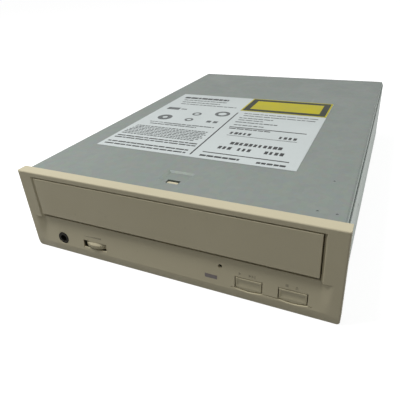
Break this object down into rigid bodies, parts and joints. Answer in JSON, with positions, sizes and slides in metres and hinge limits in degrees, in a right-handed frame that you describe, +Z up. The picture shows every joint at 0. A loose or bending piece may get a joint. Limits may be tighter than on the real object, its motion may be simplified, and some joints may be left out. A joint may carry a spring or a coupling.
{
  "type": "cd-rom drive",
  "caption": "Half-height CD-ROM drive: steel body, cream bezel, motor-driven disc tray, lifting optical deck, panel buttons and volume wheel.",
  "frame": {"origin": "under the middle of the drive, at the height of the bezel's lower edge", "axes": "+Z up, the bezel faces -Y, +X to the right of a viewer who faces the bezel"},
  "size_m": [0.1486, 0.2089, 0.0423],
  "materials": {
    "steel_case": "zinc-plated sheet steel, satin",
    "bezel_plastic": "fine-textured cream moulding",
    "button_plastic": "fine-textured cream moulding",
    "screw_steel": "zinc-plated",
    "chassis_plastic": "glass-filled black moulding",
    "tray_plastic": "fine-textured dark grey moulding",
    "gear_plastic": "white acetal",
    "belt_rubber": "matt",
    "pad_rubber": "matt",
    "turntable_plastic": "smooth moulding",
    "motor_steel": "plated can",
    "board_laminate": "solder-masked glass laminate",
    "chip_black": "moulded resin",
    "capacitor_can": "satin can",
    "connector_black": "moulded",
    "connector_white": "natural moulding",
    "pin_metal": "plated",
    "window_plastic": "smoky diffusing plastic",
    "lamp_plastic": "tinted resin",
    "sled_metal": "die-cast",
    "pickup_shield": "thin sheet",
    "rod_steel": "ground and polished",
    "lens_glass": "coated lens",
    "holder_plastic": "moulded",
    "magnet_ferrite": "sintered",
    "label_paper": "satin white label stock",
    "notice_paper": "satin yellow label stock with a dark frame",
    "ribbon_film": "polyester film"
  },
  "bodies": {
    "case": {"base_pan": "steel_case", "top_cover": "steel_case", "front_bezel": "bezel_plastic", "case_screws": "screw_steel", "loader_chassis": "chassis_plastic", "clamp_bridge": "steel_case", "bridge_screws": "screw_steel", "loading_motor": "motor_steel", "loading_belt": "belt_rubber", "front_board": "board_laminate", "headphone_jack": "connector_black", "volume_control": "chip_black", "panel_switches": "chip_black", "lamp_window": "window_plastic", "lamp": "lamp_plastic", "main_board": "board_laminate", "board_screws": "screw_steel", "board_chips": "chip_black", "board_capacitors": "capacitor_can", "clock_crystal": "capacitor_can", "ide_connector": "connector_black", "ide_pins": "pin_metal", "power_connector": "connector_white", "power_pins": "pin_metal", "audio_connector": "connector_white", "audio_pins": "pin_metal", "jumper_block": "chip_black", "jumper_cap": "chip_black", "front_ribbon": "ribbon_film", "tray_switch": "chip_black", "rating_label": "label_paper", "notice_label": "notice_paper"},
    "tray": {"tray": "tray_plastic", "tray_door": "bezel_plastic"},
    "loading_gear": {"loading_gear": "gear_plastic"},
    "pulley_gear": {"pulley_gear": "gear_plastic"},
    "motor_pulley": {"motor_pulley": "gear_plastic"},
    "cam_slider": {"cam_slider": "chassis_plastic"},
    "lift": {"lift_frame": "chassis_plastic", "deck_plate": "steel_case", "rubber_dampers": "belt_rubber", "damper_screws": "screw_steel", "spindle_motor": "motor_steel", "guide_rods": "rod_steel", "sled_motor": "motor_steel"},
    "turntable": {"turntable": "turntable_plastic", "turntable_pad": "pad_rubber"},
    "clamper": {"clamper": "gear_plastic", "clamp_magnet": "magnet_ferrite"},
    "sled_pinion": {"sled_pinion": "gear_plastic"},
    "sled_gear": {"sled_gear": "gear_plastic"},
    "sled": {"pickup_sled": "sled_metal", "sled_rack": "gear_plastic", "pickup_cover": "pickup_shield"},
    "lens": {"lens_holder": "holder_plastic", "objective_lens": "lens_glass"},
    "play_button": {"play_button": "button_plastic"},
    "eject_button": {"eject_button": "button_plastic"},
    "volume_wheel": {"volume_wheel": "button_plastic"}
  },
  "joints": [
    {"name": "tray_slide", "type": "slide", "parent": "case", "child": "tray", "axis": [0, -1, 0], "range_m": [0, 0.134]},
    {"name": "loading_gear_spin", "type": "hinge", "parent": "case", "child": "loading_gear", "pos_m": [0.041, -0.076, 0.018], "axis": [0, 0, 1], "range_deg": [-700, 2]},
    {"name": "pulley_gear_spin", "type": "hinge", "parent": "case", "child": "pulley_gear", "pos_m": [0.025, -0.076, 0.016], "axis": [0, 0, 1], "range_deg": [-4, 1635]},
    {"name": "motor_pulley_spin", "type": "hinge", "parent": "case", "child": "motor_pulley", "pos_m": [-0.006, -0.074, 0.018], "axis": [0, 0, 1], "range_deg": [-20, 8000]},
    {"name": "lift_tilt", "type": "hinge", "parent": "case", "child": "lift", "pos_m": [0, 0.06, 0.01475], "axis": [1, 0, 0], "range_deg": [0, 2.63]},
    {"name": "cam_slide", "type": "slide", "parent": "case", "child": "cam_slider", "axis": [1, 0, 0], "range_m": [-0.0001, 0.0121]},
    {"name": "turntable_spin", "type": "hinge", "parent": "lift", "child": "turntable", "pos_m": [0, -0.03385, 0.022], "axis": [0, 0, 1], "continuous": true},
    {"name": "clamper_spin", "type": "hinge", "parent": "case", "child": "clamper", "pos_m": [0, -0.03385, 0.033], "axis": [0, 0, 1], "continuous": true},
    {"name": "sled_slide", "type": "slide", "parent": "lift", "child": "sled", "axis": [0, 1, 0], "range_m": [0, 0.036]},
    {"name": "sled_gear_spin", "type": "hinge", "parent": "lift", "child": "sled_gear", "pos_m": [0.0326, 0.01, 0.017], "axis": [0, 0, 1], "range_deg": [-576, 3]},
    {"name": "sled_pinion_spin", "type": "hinge", "parent": "lift", "child": "sled_pinion", "pos_m": [0.0326, 0.0205, 0.0163], "axis": [0, 0, 1], "range_deg": [-8, 1840]},
    {"name": "lens_focus", "type": "slide", "parent": "sled", "child": "lens", "axis": [0, 0, 1], "range_m": [-0.0004, 0.0004]},
    {"name": "play_press", "type": "slide", "parent": "case", "child": "play_button", "axis": [0, 1, 0], "range_m": [0, 0.0006], "stiffness_N_per_m": 300, "springref_m": -0.0005},
    {"name": "eject_press", "type": "slide", "parent": "case", "child": "eject_button", "axis": [0, 1, 0], "range_m": [0, 0.0006], "stiffness_N_per_m": 300, "springref_m": -0.0005},
    {"name": "volume_turn", "type": "hinge", "parent": "case", "child": "volume_wheel", "pos_m": [-0.0375, -0.09585, 0.008], "axis": [0, 0, 1], "range_deg": [-135, 135]}
  ],
  "couplings": [
    {"joint": "loading_gear_spin", "follows": "tray_slide", "rad_per_m": -90.909},
    {"joint": "pulley_gear_spin", "follows": "tray_slide", "rad_per_m": 212.12},
    {"joint": "motor_pulley_spin", "follows": "tray_slide", "rad_per_m": 1037},
    {"joint": "cam_slide", "follows": "lift_tilt", "m_per_rad": 0.26143},
    {"joint": "turntable_spin", "follows": "clamper_spin", "ratio": 1},
    {"joint": "sled_gear_spin", "follows": "sled_slide", "rad_per_m": -277.78},
    {"joint": "sled_pinion_spin", "follows": "sled_slide", "rad_per_m": 888.89}
  ]
}
